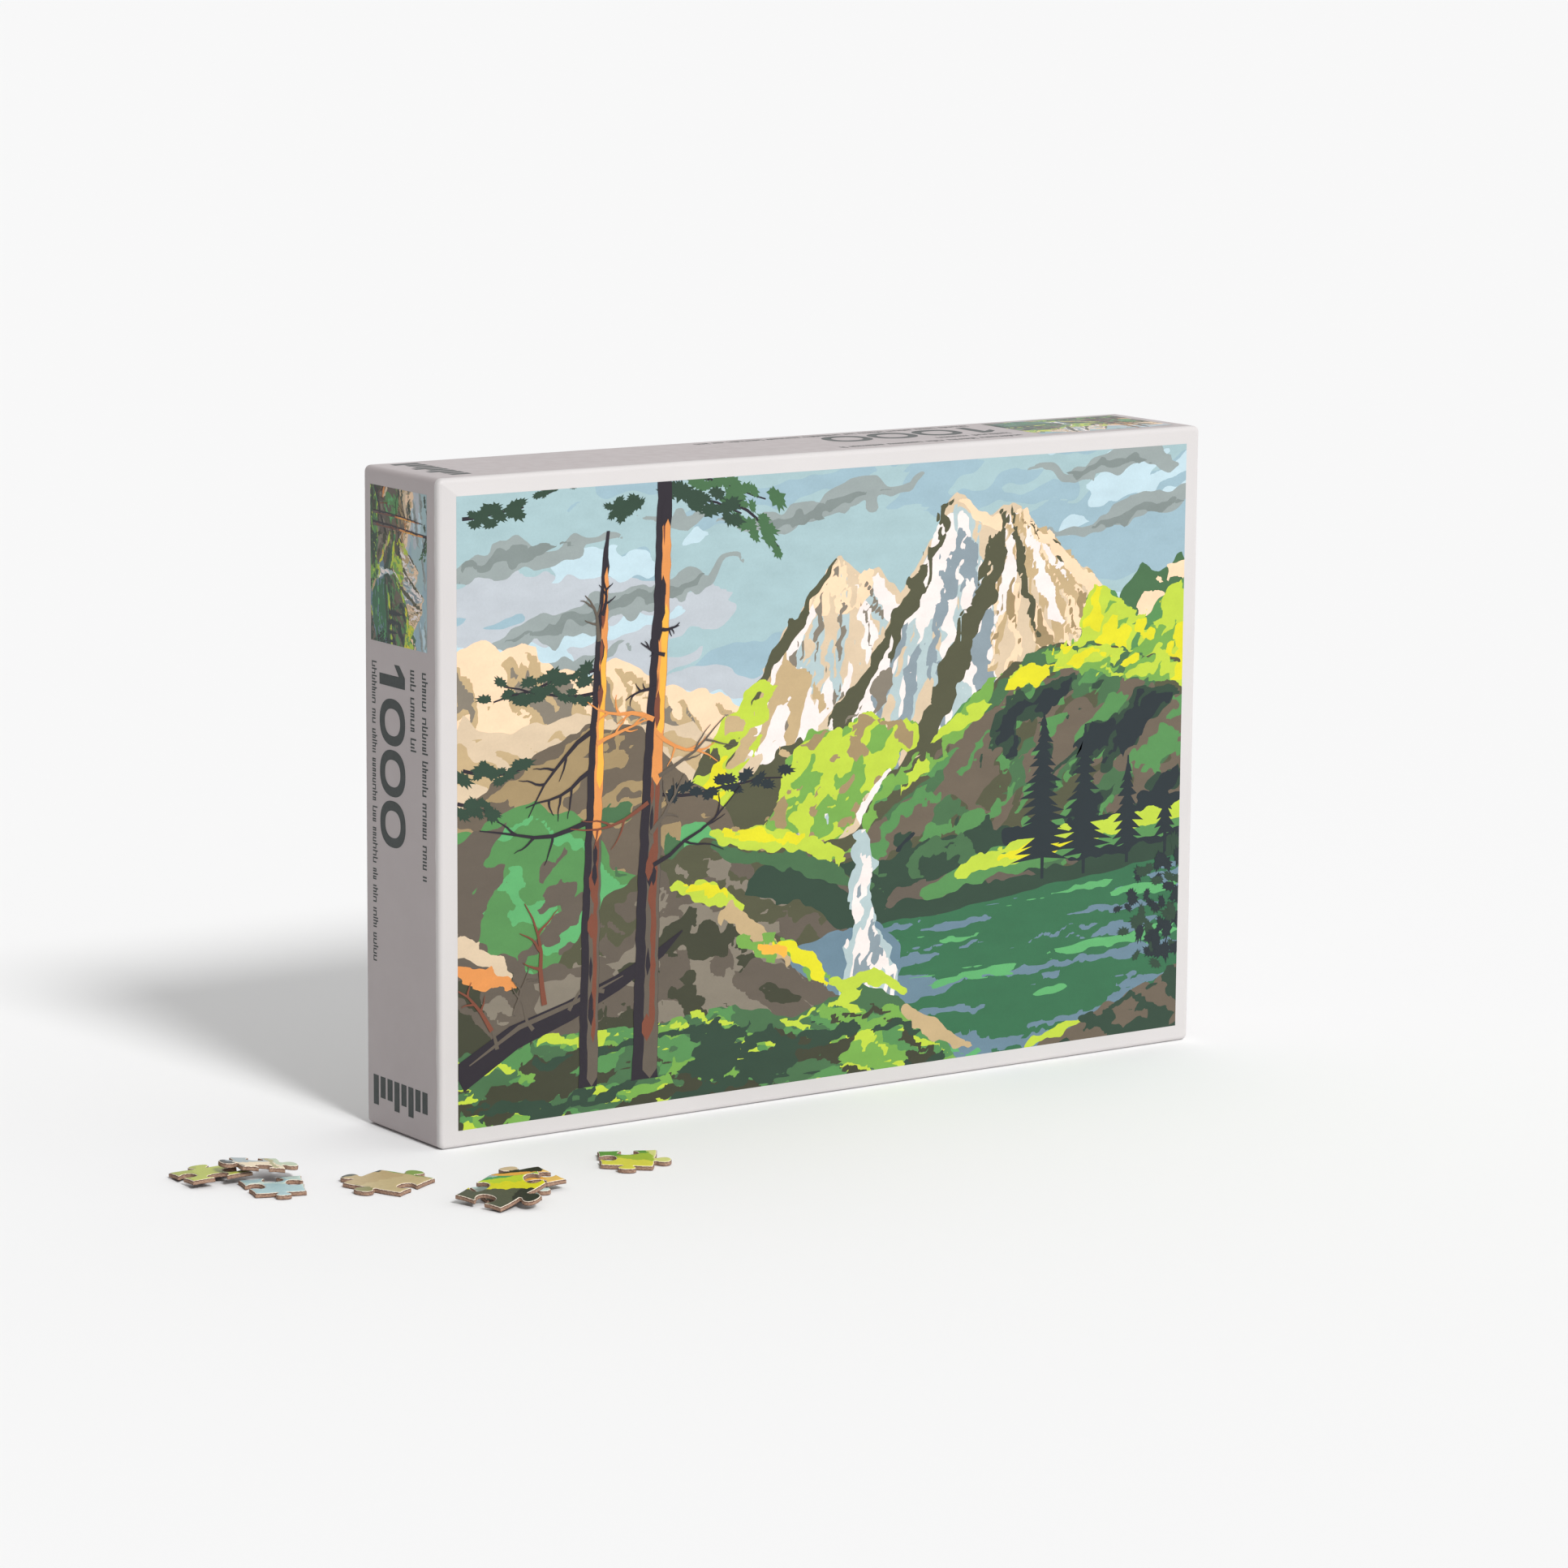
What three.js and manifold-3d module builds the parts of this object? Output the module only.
// A boxed jigsaw puzzle standing on its long edge, with eight loose pieces in front of it.
//
// Frame, in millimetres: +X runs along the width of the box, +Y from the printed face to the back,
// +Z up. The origin is the centre of the edge face that the box stands on.
//
// The box is a telescoping pair of greyboard trays, each wrapped in paper: the printed lid, open
// towards +Y, and the base tray, open towards -Y, which slides out of the lid backwards. The tray
// holds a bag of die-cut pieces.
import * as THREE from "three";
import { mergeVertices } from "three/addons/utils/BufferGeometryUtils.js";
import Module from "manifold-3d";

const wasm = await Module();
wasm.setup();

// ---------------------------------------------------------------- driving dimensions
const BOX_WIDTH = 292;
const BOX_DEPTH = 45;
const BOX_HEIGHT = 207;

const BOARD = 1.5; // greyboard of both trays
const PAPER = 0.25; // wrap paper with its glue
const STAY_TAPE = 0.15; // tape over each tray corner
const GLUE_GAP = 0.1; // drawn between layers that are glued together
const TURN_IN = 15; // how far a wrap is turned in over its rim
const STAY_LEG = 18; // how far a corner stay reaches round onto each wall
const STAY_INSET = 2; // bare board at both ends of a corner stay

const SLIP_FIT = 0.5; // air between lid and tray on each side
const HEADROOM = 1; // air between the tray's rim and the lid's face board
const TRAY_PROUD = 0.8; // how far the tray's back stands out of the lid's rim

const LID_CORNER_ROUND = 2; // corners of the lid's outline, seen from the front
const LID_EDGE_ROUND = 1.4; // edges round the printed face
const TRAY_CORNER_ROUND = 1.6;
const TRAY_EDGE_ROUND = 1;
const LEAST_ROUND = 0.4; // sharpest edge that paper or board folds to

const PIECE_BOARD = 1.45; // thickness of a puzzle piece
const TAB_REACH = 5.2; // how far a tab stands out of its side
const TAB_NECK = 3.9; // width of a tab where it leaves the side
const TAB_HEAD = 6.3; // widest part of a tab
const SIDE_WAVE = 0.5; // how far a loose piece's sides bow between corner and knob
const REST_GAP = 0.3; // drawn between things that lie on one another

const BAG_FILM = 0.3;
const BAG_SIDE_AIR = 6; // between the bag and the tray's walls, left and right
const BAG_FACE_AIR = 2; // between the bag and the boards before and behind it
const BAG_BOTTOM_AIR = 0.6;
const BAG_HEIGHT = 112;
const BAG_ROUND = 9;
const BAG_SEAL_HEIGHT = 18; // flat heat-sealed strip above the pouch
const BAG_SEAL_THICKNESS = 0.6;
const VENT_RADIUS = 3;

const BAGGED_ROWS = 2;
const BAGGED_SIZE = 18; // side of a piece without its tabs
const BAGGED_TOP_AIR = 6; // above the upper row of these pieces

// ---------------------------------------------------------------- materials
const finish = (color, roughness, metalness = 0) =>
  new THREE.MeshStandardMaterial({ color, roughness, metalness });

const PRINTED_PAPER = finish(0xb9b4b2, 0.45);
const PLAIN_PAPER = finish(0xe9e5e0, 0.6);
const GREYBOARD = finish(0x8c8177, 0.95);
const TAPE = finish(0xb08d62, 0.8);
const FILM = finish(0xdde4e8, 0.15);
const PIECES_MIXED = finish(0x77936b, 0.8);
const PIECE_COLOURS = {
  green: finish(0x86ac3c, 0.5),
  khaki: finish(0xbfae7d, 0.5),
  lime: finish(0x9fb52e, 0.5),
  sky: finish(0xa7c4c7, 0.5),
  cream: finish(0xe6d2b4, 0.5),
  olive: finish(0x525a45, 0.5),
  orange: finish(0xd9954e, 0.5),
  mist: finish(0xc3d6d4, 0.5),
};

// ---------------------------------------------------------------- solids
// A closed geometry as a solid that can be cut and joined.
function solidOf(geometry) {
  const bare = geometry.clone();
  bare.deleteAttribute("normal");
  bare.deleteAttribute("uv");
  const merged = mergeVertices(bare, 1e-4);
  return new wasm.Manifold(
    new wasm.Mesh({
      numProp: 3,
      vertProperties: new Float32Array(merged.attributes.position.array),
      triVerts: new Uint32Array(merged.index.array),
    }),
  );
}

function geometryOf(solid) {
  const mesh = solid.getMesh();
  const geometry = new THREE.BufferGeometry();
  geometry.setAttribute("position", new THREE.BufferAttribute(new Float32Array(mesh.vertProperties), 3));
  geometry.setIndex(new THREE.BufferAttribute(new Uint32Array(mesh.triVerts), 1));
  geometry.computeVertexNormals();
  return geometry;
}

function meshOf(name, geometry, material) {
  const mesh = new THREE.Mesh(geometry, material);
  mesh.name = name;
  return mesh;
}

// A square-edged block between two corners.
function block(low, high) {
  const size = high.map((value, i) => value - low[i]);
  const geometry = new THREE.BoxGeometry(...size);
  geometry.translate(...low.map((value, i) => value + size[i] / 2));
  return solidOf(geometry);
}

function roundedOutline(width, height, radius) {
  const x = width / 2 - radius;
  const y = height / 2 - radius;
  const outline = new THREE.Shape();
  outline.absarc(x, y, radius, 0, Math.PI / 2);
  outline.absarc(-x, y, radius, Math.PI / 2, Math.PI);
  outline.absarc(-x, -y, radius, Math.PI, Math.PI * 1.5);
  outline.absarc(x, -y, radius, Math.PI * 1.5, Math.PI * 2);
  return outline;
}

// A block from z = from to z = to, with rounded upright corners and a rounded lower edge.
function roundedBlock(width, height, from, to, corner, edge) {
  const geometry = new THREE.ExtrudeGeometry(roundedOutline(width, height, corner), {
    depth: to - from,
    curveSegments: 4,
    bevelEnabled: true,
    bevelThickness: edge,
    bevelSize: edge,
    bevelOffset: -edge,
    bevelSegments: 3,
  });
  geometry.translate(0, 0, from + edge);
  const above = block([-width, -height, to], [width, height, to + 4 * edge]);
  return solidOf(geometry).subtract(above);
}

// ---------------------------------------------------------------- wrapped trays
// Depths below a tray's outside surface, layer by layer.
const STAY_OUTSIDE = PAPER + GLUE_GAP;
const BOARD_OUTSIDE = STAY_OUTSIDE + STAY_TAPE + GLUE_GAP;
const BOARD_INSIDE = BOARD_OUTSIDE + BOARD;
const TURN_IN_OUTSIDE = BOARD_INSIDE + GLUE_GAP;
const WALL = TURN_IN_OUTSIDE + PAPER;

// One tray, lying on its back: the panel's outside is at z = 0 and the rim at z = depth. endNames says
// what its two long walls are called once it stands, the one at low y first.
function makeTray({ prefix, width, height, depth, corner, edge, wrapMaterial, endNames }) {
  const boardRim = depth - PAPER - GLUE_GAP;
  const shellAt = (inset, from, to) =>
    roundedBlock(
      width - 2 * inset,
      height - 2 * inset,
      from,
      to,
      Math.max(corner - inset, 2 * LEAST_ROUND),
      Math.max(edge - inset, LEAST_ROUND),
    );
  const hollowAt = (inset, from) =>
    block(
      [inset - width / 2, inset - height / 2, from],
      [width / 2 - inset, height / 2 - inset, depth + 1],
    );

  const board = shellAt(BOARD_OUTSIDE, BOARD_OUTSIDE, boardRim).subtract(hollowAt(BOARD_INSIDE, BOARD_INSIDE));

  const underPaper = shellAt(PAPER, PAPER, depth - PAPER).subtract(hollowAt(TURN_IN_OUTSIDE, depth - TURN_IN));
  const wrap = shellAt(0, 0, depth).subtract(underPaper).subtract(hollowAt(WALL, BOARD_INSIDE));

  const stayRing = shellAt(STAY_OUTSIDE, STAY_OUTSIDE, depth).subtract(
    shellAt(STAY_OUTSIDE + STAY_TAPE, STAY_OUTSIDE, depth + 1),
  );
  const stayFoot = BOARD_OUTSIDE + edge + STAY_INSET;

  const tray = new THREE.Group();
  tray.add(meshOf(`${prefix}_board`, geometryOf(board), GREYBOARD));
  tray.add(meshOf(`${prefix}_wrap`, geometryOf(wrap), wrapMaterial));
  // Low and high ends of the stretch at one end of a length that a corner stay covers.
  const legs = (length) => [
    [-length / 2 - 1, STAY_LEG - length / 2],
    [length / 2 - STAY_LEG, length / 2 + 1],
  ];
  legs(width).forEach(([x0, x1], side) =>
    legs(height).forEach(([y0, y1], end) => {
      const stay = stayRing.intersect(block([x0, y0, stayFoot], [x1, y1, boardRim - STAY_INSET]));
      const name = `${prefix}_${endNames[end]}_${["left", "right"][side]}_corner_stay`;
      tray.add(meshOf(name, geometryOf(stay), TAPE));
    }),
  );
  return tray;
}

const FRONT = -BOX_DEPTH / 2;
const BACK = BOX_DEPTH / 2;
const MIDDLE_HEIGHT = BOX_HEIGHT / 2;

const lid = makeTray({
  prefix: "lid",
  width: BOX_WIDTH,
  height: BOX_HEIGHT,
  depth: BOX_DEPTH - TRAY_PROUD,
  corner: LID_CORNER_ROUND,
  edge: LID_EDGE_ROUND,
  wrapMaterial: PRINTED_PAPER,
  endNames: ["upper", "lower"],
});
lid.rotation.x = -Math.PI / 2;
lid.position.set(0, FRONT, MIDDLE_HEIGHT);

const TRAY_INSET = WALL + SLIP_FIT;
const TRAY_RIM = FRONT + BOARD_INSIDE + HEADROOM;
const tray = makeTray({
  prefix: "tray",
  width: BOX_WIDTH - 2 * TRAY_INSET,
  height: BOX_HEIGHT - 2 * TRAY_INSET,
  depth: BACK - TRAY_RIM,
  corner: TRAY_CORNER_ROUND,
  edge: TRAY_EDGE_ROUND,
  wrapMaterial: PLAIN_PAPER,
  endNames: ["lower", "upper"],
});
tray.rotation.x = Math.PI / 2;
tray.position.set(0, BACK, MIDDLE_HEIGHT);

// ---------------------------------------------------------------- puzzle pieces
// What one side of a piece carries. shift moves the knob along the side and scale sizes it, and bow
// bends a side that has no knob.
const tab = (shift = 0, scale = 1) => ({ knob: 1, shift, scale });
const socket = (shift = 0, scale = 1) => ({ knob: -1, shift, scale });
const plain = (bow) => ({ knob: 0, bow });

// Adds one side to a piece's outline, from the point where the outline has got to.
function addSide(outline, from, to, side, wave) {
  const along = to.clone().sub(from).normalize();
  const outward = new THREE.Vector2(along.y, -along.x);
  const length = from.distanceTo(to);
  const at = (u, v) => from.clone().addScaledVector(along, u).addScaledVector(outward, v);
  const bend = (c, p) => outline.quadraticCurveTo(c.x, c.y, p.x, p.y);
  if (side.knob === 0) {
    bend(at(length / 2, 2 * side.bow), to);
    return;
  }
  const middle = length / 2 + side.shift;
  const neck = (TAB_NECK / 2) * side.scale;
  const head = (TAB_HEAD / 2) * side.scale;
  const reach = TAB_REACH * side.scale;
  const knobAt = (u, v) => at(middle + u, v * side.knob);
  const curve = (a, b, c) => outline.bezierCurveTo(a.x, a.y, b.x, b.y, c.x, c.y);
  const shoulder = (fromU, toU, point) =>
    wave > 0 ? bend(at((fromU + toU) / 2, wave * side.knob), point) : outline.lineTo(point.x, point.y);

  shoulder(0, middle - neck, knobAt(-neck, 0));
  curve(knobAt(-neck * 0.6, reach * 0.12), knobAt(-head, reach * 0.22), knobAt(-head, reach * 0.58));
  curve(knobAt(-head, reach * 0.9), knobAt(-head * 0.5, reach), knobAt(0, reach));
  curve(knobAt(head * 0.5, reach), knobAt(head, reach * 0.9), knobAt(head, reach * 0.58));
  curve(knobAt(head, reach * 0.22), knobAt(neck * 0.6, reach * 0.12), knobAt(neck, 0));
  shoulder(middle + neck, length, to);
}

// A piece lying flat, its underside at z = 0. corners run anticlockwise, and sides[i] belongs to the
// side from corner i to the next one.
function pieceGeometry(corners, sides, wave) {
  const points = corners.map(([x, y]) => new THREE.Vector2(x, y));
  const outline = new THREE.Shape();
  outline.moveTo(points[0].x, points[0].y);
  sides.forEach((side, i) => addSide(outline, points[i], points[(i + 1) % points.length], side, wave));
  return new THREE.ExtrudeGeometry(outline, { depth: PIECE_BOARD, curveSegments: 3, bevelEnabled: false });
}

// One piece and the air over it, the step by which a pile grows.
const LAYER = PIECE_BOARD + REST_GAP;

// The loose pieces, from the table up in each pile. centre is in plan from the front left foot of the
// box, and corners are from there. low is the height of the underside at the centre, in layers, and
// lean its rise along +X and +Y, in layers for each 100 mm.
const LOOSE_PIECES = [
  {
    name: "loose_piece_right",
    colour: "green",
    centre: [40.2, -43.1],
    low: 0,
    lean: [0, 0],
    corners: [[-11, -2.5], [1, -13], [13.5, 4], [-3, 12]],
    sides: [tab(0.5, 0.9), tab(-1.8), socket(), socket(0.3)],
  },
  {
    name: "loose_piece_middle",
    colour: "khaki",
    centre: [-34.7, -28.8],
    low: 0,
    lean: [0, 0],
    corners: [[-13, 5.5], [-4.5, -14], [13, -4.5], [4.5, 13.5]],
    sides: [tab(-0.7), socket(-1.9), tab(-0.6), tab(2)],
  },
  {
    name: "left_pile_bottom_piece",
    colour: "sky",
    centre: [-66, -14.5],
    low: 0,
    lean: [0, 0],
    corners: [[-10, -6.5], [4.5, -11.5], [12.5, 6], [-6.5, 10.5]],
    sides: [tab(0.4, 0.75), socket(1.2), socket(), socket(0.2)],
  },
  {
    name: "left_pile_middle_piece",
    colour: "lime",
    centre: [-77.5, 4.5],
    low: 0.75,
    lean: [3.2, -3.7],
    corners: [[-9, -6.5], [9.5, -9.5], [9, 5.5], [-8.5, 10]],
    sides: [socket(-0.5), socket(), tab(-0.8), socket(0, 0.9)],
  },
  {
    name: "left_pile_top_piece",
    colour: "cream",
    centre: [-64, -2.2],
    low: 2.2,
    lean: [-5.7, 0],
    corners: [[-8, -3.5], [3.5, -9], [8.5, 5.5], [-5.5, 9.5]],
    sides: [socket(0, 0.8), tab(), socket(0, 0.8), tab()],
  },
  {
    name: "middle_pile_bottom_piece",
    colour: "mist",
    centre: [-12.4, -58.7],
    low: 0,
    lean: [0, 0],
    corners: [[-10.3, -6.2], [6.2, -10.3], [10.3, 6.2], [-6.2, 10.3]],
    sides: [socket(), tab(), socket(), socket()],
  },
  {
    name: "middle_pile_middle_piece",
    colour: "orange",
    centre: [-1.5, -53.5],
    low: 1,
    lean: [0, 0],
    corners: [[-9.5, -9.5], [8.5, -8], [10, 10], [-8, 9]],
    sides: [socket(), socket(-0.9), tab(), socket()],
  },
  {
    name: "middle_pile_top_piece",
    colour: "olive",
    centre: [-16, -65.5],
    low: 1.6,
    lean: [8.6, 7.4],
    corners: [[-8.5, -10], [11.5, -3.5], [14, 5], [1, 12], [-14, 6.5]],
    sides: [tab(), socket(0, 1.05), plain(-1.6), socket(), socket(0.5)],
  },
];

const UP = new THREE.Vector3(0, 0, 1);

function loosePiece({ name, colour, centre, low, lean, corners, sides }) {
  const mesh = meshOf(name, pieceGeometry(corners, sides, SIDE_WAVE), PIECE_COLOURS[colour]);
  const rise = lean.map((layers) => (layers * LAYER) / 100);
  mesh.quaternion.setFromUnitVectors(UP, new THREE.Vector3(-rise[0], -rise[1], 1).normalize());
  mesh.position.set(centre[0] - BOX_WIDTH / 2, centre[1] + FRONT, low * LAYER);
  return mesh;
}

// ---------------------------------------------------------------- the bag and what it holds
const TRAY_INSIDE_WIDTH = BOX_WIDTH - 2 * (TRAY_INSET + WALL);
const TRAY_INSIDE_FLOOR = TRAY_INSET + WALL;
const TRAY_INSIDE_BACK = BACK - BOARD_INSIDE;

const BAG_WIDTH = TRAY_INSIDE_WIDTH - 2 * BAG_SIDE_AIR;
const BAG_FRONT = TRAY_RIM + BAG_FACE_AIR;
const BAG_BACK = TRAY_INSIDE_BACK - BAG_FACE_AIR;
const BAG_THICKNESS = BAG_BACK - BAG_FRONT;
const BAG_BOTTOM = TRAY_INSIDE_FLOOR + BAG_BOTTOM_AIR;

// A cushion-shaped solid, flat along Y, with all its edges rounded.
function cushion(width, height, thickness, round) {
  const geometry = new THREE.ExtrudeGeometry(roundedOutline(width, height, round * 1.5), {
    depth: thickness - 2 * round,
    curveSegments: 5,
    bevelEnabled: true,
    bevelThickness: round,
    bevelSize: round,
    bevelOffset: -round,
    bevelSegments: 4,
  });
  geometry.translate(0, 0, round);
  return solidOf(geometry);
}

function makeBag() {
  const inside = cushion(
    BAG_WIDTH - 2 * BAG_FILM,
    BAG_HEIGHT - 2 * BAG_FILM,
    BAG_THICKNESS - 2 * BAG_FILM,
    BAG_ROUND - BAG_FILM,
  ).translate([0, 0, BAG_FILM]);
  const sealHalf = BAG_WIDTH / 2 - BAG_ROUND;
  const sealMiddle = BAG_THICKNESS / 2;
  const seal = block(
    [-sealHalf, BAG_HEIGHT / 2 - BAG_ROUND, sealMiddle - BAG_SEAL_THICKNESS / 2],
    [sealHalf, BAG_HEIGHT / 2 + BAG_SEAL_HEIGHT, sealMiddle + BAG_SEAL_THICKNESS / 2],
  );
  const ventHole = new THREE.CylinderGeometry(VENT_RADIUS, VENT_RADIUS, BAG_THICKNESS, 12);
  ventHole.rotateX(Math.PI / 2);
  ventHole.translate(0, BAG_HEIGHT / 2 - 1.5 * BAG_ROUND, BAG_THICKNESS);
  const film = cushion(BAG_WIDTH, BAG_HEIGHT, BAG_THICKNESS, BAG_ROUND)
    .add(seal)
    .subtract(inside)
    .subtract(solidOf(ventHole));
  const mesh = meshOf("puzzle_bag", geometryOf(film), FILM);
  mesh.rotation.x = Math.PI / 2;
  mesh.position.set(0, BAG_BACK, BAG_BOTTOM + BAG_HEIGHT / 2);
  return mesh;
}

// The pieces that lie flat against the front of the bag, each a separate solid.
const BAGGED_PITCH = BAGGED_SIZE + 2 * TAB_REACH + REST_GAP;
const BAGGED_COLUMNS = Math.floor((BAG_WIDTH - 2 * BAG_ROUND) / BAGGED_PITCH);
const BAGGED_BACK = BAG_FRONT + BAG_FILM + REST_GAP + PIECE_BOARD;

function baggedPiece(column, row) {
  const count = row * BAGGED_COLUMNS + column;
  const half = BAGGED_SIZE / 2;
  const corners = [[-half, -half], [half, -half], [half, half], [-half, half]];
  const sides = corners.map((_, side) => ((count + side * (row + 1)) % 3 === 0 ? socket() : tab()));
  const number = String(count + 1).padStart(2, "0");
  const mesh = meshOf(`bagged_piece_${number}`, pieceGeometry(corners, sides, 0), PIECES_MIXED);
  const middleX = (column - (BAGGED_COLUMNS - 1) / 2) * BAGGED_PITCH;
  const topRow = BAG_BOTTOM + BAG_HEIGHT - BAG_ROUND - BAGGED_TOP_AIR - BAGGED_PITCH / 2;
  mesh.rotation.x = Math.PI / 2;
  mesh.position.set(middleX, BAGGED_BACK, topRow - row * BAGGED_PITCH);
  return mesh;
}

// The rest of the pieces as one heap, its top mounded as poured pieces lie.
function makeHeap() {
  const half = BAG_WIDTH / 2 - BAG_FILM - BAG_ROUND;
  const shoulder = BAG_HEIGHT * 0.72;
  const crown = BAG_HEIGHT - 2 * BAG_ROUND;
  const round = BAG_ROUND;
  const outline = new THREE.Shape();
  outline.moveTo(-half + round, 0);
  outline.lineTo(half - round, 0);
  outline.quadraticCurveTo(half, 0, half, round);
  outline.lineTo(half, shoulder);
  outline.quadraticCurveTo(half * 0.5, crown, 0, crown);
  outline.quadraticCurveTo(-half * 0.5, crown, -half, shoulder);
  outline.lineTo(-half, round);
  outline.quadraticCurveTo(-half, 0, -half + round, 0);
  const backAir = BAG_FILM + 2 * REST_GAP;
  const depth = BAG_BACK - backAir - (BAGGED_BACK + REST_GAP);
  const geometry = new THREE.ExtrudeGeometry(outline, { depth, curveSegments: 6, bevelEnabled: false });
  const mesh = meshOf("piece_heap", geometry, PIECES_MIXED);
  mesh.rotation.x = Math.PI / 2;
  mesh.position.set(0, BAG_BACK - backAir, BAG_BOTTOM + BAG_ROUND);
  return mesh;
}

const contents = new THREE.Group();
contents.add(makeBag(), makeHeap());
for (let row = 0; row < BAGGED_ROWS; row++)
  for (let column = 0; column < BAGGED_COLUMNS; column++) contents.add(baggedPiece(column, row));

// ---------------------------------------------------------------- the whole object
const puzzle = new THREE.Group();
puzzle.add(lid, tray, contents, ...LOOSE_PIECES.map(loosePiece));

export default puzzle;
